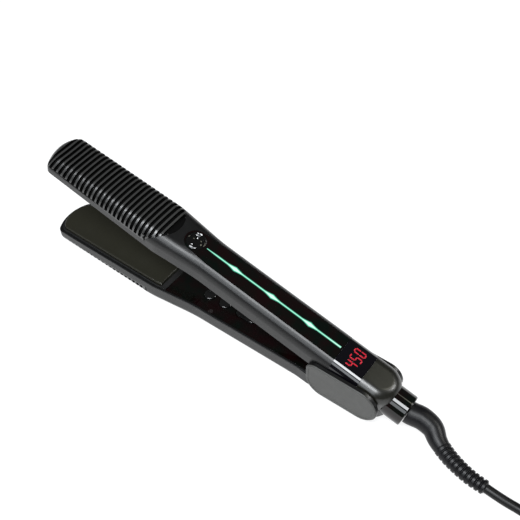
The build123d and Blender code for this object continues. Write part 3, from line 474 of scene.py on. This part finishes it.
def make_ornament():
    mesh = bmesh.new()
    rings = []
    for order, (radius, height, count) in enumerate(ornament_rings):
        on_rim = order >= len(ornament_rings) - rim_rings
        ring = []
        for index in range(count):
            angle = 2 * math.pi * (index + 0.5 * (order % 2)) / count
            uneven = 0.0 if on_rim else facet_unevenness * math.sin(corner_beat * index + ring_beat * order)
            x, y = ornament_place + radius * math.cos(angle), radius * math.sin(angle)
            ring.append(mesh.verts.new(from_arm("upper", (x, y, strip_top + height + uneven))))
        rings.append(ring)
    centre = mesh.verts.new(from_arm("upper", (ornament_place, 0, strip_top + dish_height)))
    for index, vertex in enumerate(rings[0]):
        mesh.faces.new((centre, vertex, rings[0][(index + 1) % len(rings[0])]))
    for inner, outer in zip(rings, rings[1:]):
        join_rings(mesh, inner, outer)
    down = arm_turn["upper"] @ Vector((0, 0, stone_depth))
    base = [mesh.verts.new(vertex.co - down) for vertex in rings[-1]]
    for index, vertex in enumerate(rings[-1]):
        after = (index + 1) % len(base)
        mesh.faces.new((vertex, rings[-1][after], base[after], base[index]))
    mesh.faces.new(base[::-1])
    bmesh.ops.recalc_face_normals(mesh, faces=mesh.faces)
    place_piece(mesh, "faceted_stone", "faceted_ornament")


make_ornament()


# Cord: free stretch, then a hank of four layers, tied at its waist. Its places and sizes are in millimetres,
# with X from the hinge axis, and its whole length is in metres

cord_route = [
    (101.3, -14.0, 5.0), (112.5, -14.4, 4.0), (124.5, -13.4, 2.98), (136.5, -15.0, 2.95),
    (147.0, -15.0, 2.95),
]
layer_gap = 0.5
strand_pitch = 7.05
hank_run = 118.0
hank_outer_radius = 22.7
hank_draw_in = 14.0
waist_pull = 1.03
hank_waist_lift = 0.9
hank_steps = (0, 1, 2, 1, 0, 1, 2, 1, 0)
hank_top_layer = 3
plug_rise_length = 60.0
plug_side_shift = 1.75
plug_thickness = 16.4
plug_clearance = 0.3
points_per_fold = 8
points_per_run = 9
points_per_rise = points_per_run // 2 + 1
strand = cord_diameter * 1000
cord_origin = Vector((hinge.x, 0, 0))


def rising(share):
    """Smooth step from 0 to 1 and back, over shares from 0 to 2."""
    return (1 - math.cos(math.pi * share)) / 2


def hank_runs():
    """Start and end of each run: strands step in and out, and every second run climbs a layer."""
    left, low_y, low = Vector(cord_route[-1]) + Vector((strand, 0, 0))
    middle = low_y + hank_outer_radius
    layer = strand + layer_gap
    runs = []
    for order, step in enumerate(hank_steps):
        side = -1 if order % 2 == 0 else 1
        y = middle + side * (hank_outer_radius - step * strand_pitch / 2)
        ends = (left, left + hank_run) if side < 0 else (left + hank_run, left)
        start = Vector((ends[0], y, low + max(0, (order - 1) // 2) * layer))
        end = Vector((ends[1], y, low + min(order // 2, hank_top_layer) * layer))
        runs.append((start, end, -side))
    return runs


def run_points(start, end, inwards):
    """Control points of one run, drawn in and lifted at the waist."""
    points = []
    for index in range(points_per_run):
        share = (index + 0.5) / points_per_run
        waist = rising(2 * share)
        climbed = waist / 2 if share < 0.5 else 1 - waist / 2
        place = start.lerp(end, share)
        place.y += inwards * hank_draw_in * waist_pull * waist
        place.z = start.z + (end.z - start.z) * climbed
        place.z += hank_waist_lift * waist
        points.append(place)
    return points


def fold_points(start, end, ahead):
    """Control points of a half turn from start to end that leaves along +X or -X."""
    middle = (start + end) / 2
    across = start - middle
    forward = Vector((ahead * across.length, 0, 0))
    outwards = 1 / math.cos(math.pi / points_per_fold / 2)
    points = []
    for index in range(points_per_fold):
        angle = math.pi * (index + 0.5) / points_per_fold
        points.append(middle + (across * math.cos(angle) + forward * math.sin(angle)) * outwards)
    return points


def hank_points():
    """Control points of the whole hank, up to the plug that lies on it."""
    runs = hank_runs()
    points = [runs[0][0] - Vector((strand / 2, 0, 0))]
    for order, (start, end, inwards) in enumerate(runs[:-1]):
        points += run_points(start, end, inwards)
        points += fold_points(end, runs[order + 1][0], 1 if order % 2 == 0 else -1)
    start = runs[-1][0]
    top = cord_route[-1][2] + hank_top_layer * (strand + layer_gap) + hank_waist_lift + strand / 2
    plug_axis = Vector((start.x + plug_rise_length, cord_route[-1][1] + hank_outer_radius - plug_side_shift,
                        top + plug_clearance + plug_thickness / 2))
    for index in range(points_per_rise):
        share = (index + 0.5) / points_per_rise
        place = start.lerp(plug_axis, rising(share))
        place.x = start.x + plug_rise_length * share
        points.append(place)
    points.append(plug_axis + Vector((strand / 2, 0, 0)))
    points.append(plug_axis + Vector((strand, 0, 0)))
    return points


def make_cord():
    route = [Vector(point) for point in cord_route] + hank_points()
    curve = bpy.data.curves.new("power_cord", "CURVE")
    curve.dimensions = "3D"
    spline = curve.splines.new("NURBS")
    spline.points.add(len(route) - 1)
    for point, place in zip(spline.points, route):
        x, y, z = place / 1000
        point.co = (x + hinge.x, y, z, 1)
    spline.order_u = 3
    spline.use_endpoint_u = True
    spline.resolution_u = 8
    curve.bevel_depth = cord_diameter / 2
    curve.bevel_resolution = 6
    curve.use_fill_caps = True
    cord = bpy.data.objects.new("power_cord", curve)
    bpy.context.scene.collection.objects.link(cord)
    cord.data.materials.append(finishes["cord_jacket"])
    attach(cord, "cord_end")
    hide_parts("cord", "cord_hank")


# Strain relief: smooth bent neck, then ribs that stand out more towards the cord. Its places are written like
# the cord's, and its radii by the share of its length at which they are reached

boot_route = [
    (51.5, 1.2, 10.8), (58.8, 0.0, 9.4), (65.2, -4.8, 7.8), (73.8, -9.0, 6.6),
    (83.0, -11.9, 6.0), (92.0, -13.6, 5.5),
]
collar_axis_height = 4.8
collar_end = 42.0
boot_gap = 0.3
boot_radii = [(0.0, 7.1), (0.12, 7.1), (0.24, 6.8), (0.36, 6.0), (0.48, 5.1), (1.0, 3.9)]
rib_start = 0.47
rib_count = 11
first_rib_rise = 0.3
added_rib_rise = 0.22
rib_steepness = 2.5
rib_fullness = 1.5
boot_segments = 40
boot_steps = 330
parts_per_span = 40
tangent_reach = 0.01


def smooth_line(points, first, last):
    """Dense places along a curve through points, with given directions at both ends."""
    slopes = [first]
    for before, point, after in zip(points, points[1:], points[2:]):
        step_in, step_out = (point - before).length, (after - point).length
        arriving = (point - before) / step_in * step_out
        leaving = (after - point) / step_out * step_in
        slopes.append((arriving + leaving) / (step_in + step_out))
    slopes.append(last)
    spots = []
    for index, (start, end) in enumerate(zip(points, points[1:])):
        length = (end - start).length
        for part in range(parts_per_span):
            t = part / parts_per_span
            spot = start * (2 * t ** 3 - 3 * t ** 2 + 1)
            spot += slopes[index] * (length * (t ** 3 - 2 * t ** 2 + t))
            spot += end * (3 * t ** 2 - 2 * t ** 3)
            spot += slopes[index + 1] * (length * (t ** 3 - t ** 2))
            spots.append(spot)
    return spots + [points[-1]]


def place_along(spots, lengths, share):
    """Place at a share of the length of a dense polyline."""
    wanted = min(1.0, max(0.0, share)) * lengths[-1]
    index = 0
    while index < len(lengths) - 2 and lengths[index + 1] < wanted:
        index += 1
    part = (wanted - lengths[index]) / (lengths[index + 1] - lengths[index])
    return spots[index].lerp(spots[index + 1], part)


def boot_radius(share):
    """Radius at a share of the length: a tapered neck, with a rounded wave for each rib."""
    for (start, low), (end, high) in zip(boot_radii, boot_radii[1:]):
        if share <= end:
            radius = low + (high - low) * (share - start) / (end - start)
            break
    if share > rib_start:
        phase = (share - rib_start) / (1 - rib_start) * rib_count
        rise = first_rib_rise + added_rib_rise * (phase / rib_count) ** 2
        wave = math.cos(2 * math.pi * (phase % 1.0 - 0.5))
        radius += rise * max(-1.0, min(1.0, rib_steepness * wave + rib_fullness))
    return radius


def boot_line():
    """Places along the strain relief's middle, from inside the collar to the cord."""
    level, fall = math.cos(opening), math.sin(opening)
    start = Vector((collar_end * level + collar_axis_height * fall, 0,
                    hinge.z * 1000 - collar_end * fall + collar_axis_height * level))
    along = Vector((level, 0, -fall))
    points = [start + along * boot_gap] + [Vector(point) for point in boot_route] + [Vector(cord_route[0])]
    cord_direction = (Vector(cord_route[1]) - Vector(cord_route[0])).normalized()
    return smooth_line(points, along, cord_direction)


def make_boot():
    spots = boot_line()
    lengths = [0.0]
    for before, after in zip(spots, spots[1:]):
        lengths.append(lengths[-1] + (after - before).length)
    mesh = bmesh.new()
    rings = []
    for step in range(boot_steps + 1):
        share = step / boot_steps
        place = place_along(spots, lengths, share)
        ahead = place_along(spots, lengths, share + tangent_reach)
        behind = place_along(spots, lengths, share - tangent_reach)
        direction = (ahead - behind).normalized()
        side = Vector((0, 1, 0)).cross(direction).normalized()
        other = direction.cross(side)
        radius = boot_radius(share)
        ring = []
        for index in range(boot_segments):
            angle = 2 * math.pi * index / boot_segments
            spot = (place + (side * math.cos(angle) + other * math.sin(angle)) * radius) / 1000
            ring.append(mesh.verts.new(spot + cord_origin))
        rings.append(ring)
    for ring, following in zip(rings, rings[1:]):
        for index in range(boot_segments):
            after = (index + 1) % boot_segments
            mesh.faces.new((ring[index], ring[after], following[after], following[index]))
    mesh.faces.new(rings[0][::-1])
    mesh.faces.new(rings[-1])
    bmesh.ops.recalc_face_normals(mesh, faces=mesh.faces)
    piece = place_piece(mesh, "strain_relief", "cord_boot")
    for face in piece.data.polygons:
        face.use_smooth = len(face.vertices) == 4


make_boot()
make_cord()


# Stage: a white floor that keeps its shadow and goes over into a white surround, in metres

floor_size = 16.0
paper_tone = 0.93
seen_tone = 0.28
seen_glow = 0.8
room_level = 0.06


def grey(tone):
    return (tone, tone, tone, 1)


def make_floor():
    """Plain paper for the light it spreads, and nearly white to the camera and in reflections."""
    bpy.ops.mesh.primitive_plane_add(size=floor_size, location=(0, 0, 0))
    floor = bpy.context.object
    floor.name = "floor"
    material = bpy.data.materials.new("floor_white")
    material.use_nodes = True
    nodes, links = material.node_tree.nodes, material.node_tree.links
    nodes.clear()
    out = nodes.new("ShaderNodeOutputMaterial")
    paper = nodes.new("ShaderNodeBsdfDiffuse")
    paper.inputs["Color"].default_value = grey(paper_tone)
    faint = nodes.new("ShaderNodeBsdfDiffuse")
    faint.inputs["Color"].default_value = grey(seen_tone)
    glow = nodes.new("ShaderNodeEmission")
    glow.inputs["Strength"].default_value = seen_glow
    backdrop = nodes.new("ShaderNodeAddShader")
    links.new(faint.outputs["BSDF"], backdrop.inputs[0])
    links.new(glow.outputs["Emission"], backdrop.inputs[1])
    path = nodes.new("ShaderNodeLightPath")
    seen = nodes.new("ShaderNodeMath")
    seen_all = nodes.new("ShaderNodeMath")
    seen_all.use_clamp = True
    links.new(path.outputs["Is Camera Ray"], seen.inputs[0])
    links.new(path.outputs["Is Glossy Ray"], seen.inputs[1])
    links.new(seen.outputs[0], seen_all.inputs[0])
    links.new(path.outputs["Is Transmission Ray"], seen_all.inputs[1])
    mix = nodes.new("ShaderNodeMixShader")
    links.new(seen_all.outputs[0], mix.inputs["Fac"])
    links.new(paper.outputs["BSDF"], mix.inputs[1])
    links.new(backdrop.outputs["Shader"], mix.inputs[2])
    links.new(mix.outputs["Shader"], out.inputs["Surface"])
    floor.data.materials.append(material)


def make_world():
    """Dim room light for surfaces, a white surround for the camera."""
    world = bpy.data.worlds.new("studio")
    bpy.context.scene.world = world
    world.use_nodes = True
    nodes, links = world.node_tree.nodes, world.node_tree.links
    nodes.clear()
    out = nodes.new("ShaderNodeOutputWorld")
    room = nodes.new("ShaderNodeBackground")
    room.inputs["Color"].default_value = grey(1.0)
    room.inputs["Strength"].default_value = room_level
    white = nodes.new("ShaderNodeBackground")
    white.inputs["Color"].default_value = grey(1.0)
    white.inputs["Strength"].default_value = 1.0
    path = nodes.new("ShaderNodeLightPath")
    mix = nodes.new("ShaderNodeMixShader")
    links.new(path.outputs["Is Camera Ray"], mix.inputs["Fac"])
    links.new(room.outputs["Background"], mix.inputs[1])
    links.new(white.outputs["Background"], mix.inputs[2])
    links.new(mix.outputs["Shader"], out.inputs["Surface"])


make_floor()
make_world()


# Lamps: name, place, target and size in metres, power in watts, colour

lamps = [
    ("overhead", (0.08, -0.47, 1.0), (-0.03, -0.02, 0.0), (0.86, 0.34), 15.5, (0.94, 0.97, 1.0)),
    ("near_panel", (0.05, -0.95, 0.78), (-0.03, 0.0, 0.03), (0.86, 0.42), 4.5, (0.9, 0.95, 1.0)),
    ("back_fill", (0.65, 0.62, 1.1), (0.0, 0.0, 0.0), (0.4, 0.5), 1.5, (1.0, 0.99, 0.8)),
    ("crest_light", (0.9, 0.62, 0.85), (-0.05, 0.0, 0.05), (0.3, 0.3), 5.0, (1.0, 1.0, 1.0)),
    ("sparkle", (0.48, -0.62, 0.95), (0.0, 0.0, 0.0), (0.1, 0.1), 0.9, (1.0, 1.0, 1.0)),
]


def add_lamp(name, place, target, size, power, color):
    light = bpy.data.lights.new(name, "AREA")
    light.shape = "RECTANGLE"
    light.size, light.size_y = size
    light.energy = power
    light.color = color
    lamp = bpy.data.objects.new(name, light)
    lamp.location = place
    direction = Vector(target) - Vector(place)
    lamp.rotation_euler = direction.to_track_quat("-Z", "Y").to_euler()
    bpy.context.scene.collection.objects.link(lamp)


for lamp in lamps:
    add_lamp(*lamp)


# Camera: its place from the hinge axis in metres, its direction, and its lens in millimetres

camera_offset = Vector((0.1354, -0.2710, 0.4518))
camera_azimuth = math.radians(36.68)
camera_elevation = math.radians(49.23)
camera_roll = math.radians(-0.78)
camera_lens = 60.95
sensor_width = 36.0
nearest_shown = 0.01


def make_camera():
    data = bpy.data.cameras.new("camera")
    data.lens = camera_lens
    data.sensor_width = sensor_width
    data.clip_start = nearest_shown
    camera = bpy.data.objects.new("camera", data)
    flat, rise = math.cos(camera_elevation), math.sin(camera_elevation)
    east, north = math.cos(camera_azimuth), math.sin(camera_azimuth)
    back = Vector((north * flat, -east * flat, rise))
    level = Vector((east, north, 0))
    upright = back.cross(level)
    right = level * math.cos(camera_roll) + upright * math.sin(camera_roll)
    up = upright * math.cos(camera_roll) - level * math.sin(camera_roll)
    matrix = Matrix((right, up, back)).transposed().to_4x4()
    matrix.translation = hinge + camera_offset
    camera.matrix_world = matrix
    bpy.context.scene.collection.objects.link(camera)
    bpy.context.scene.camera = camera


make_camera()
bpy.context.scene.view_settings.view_transform = "Standard"
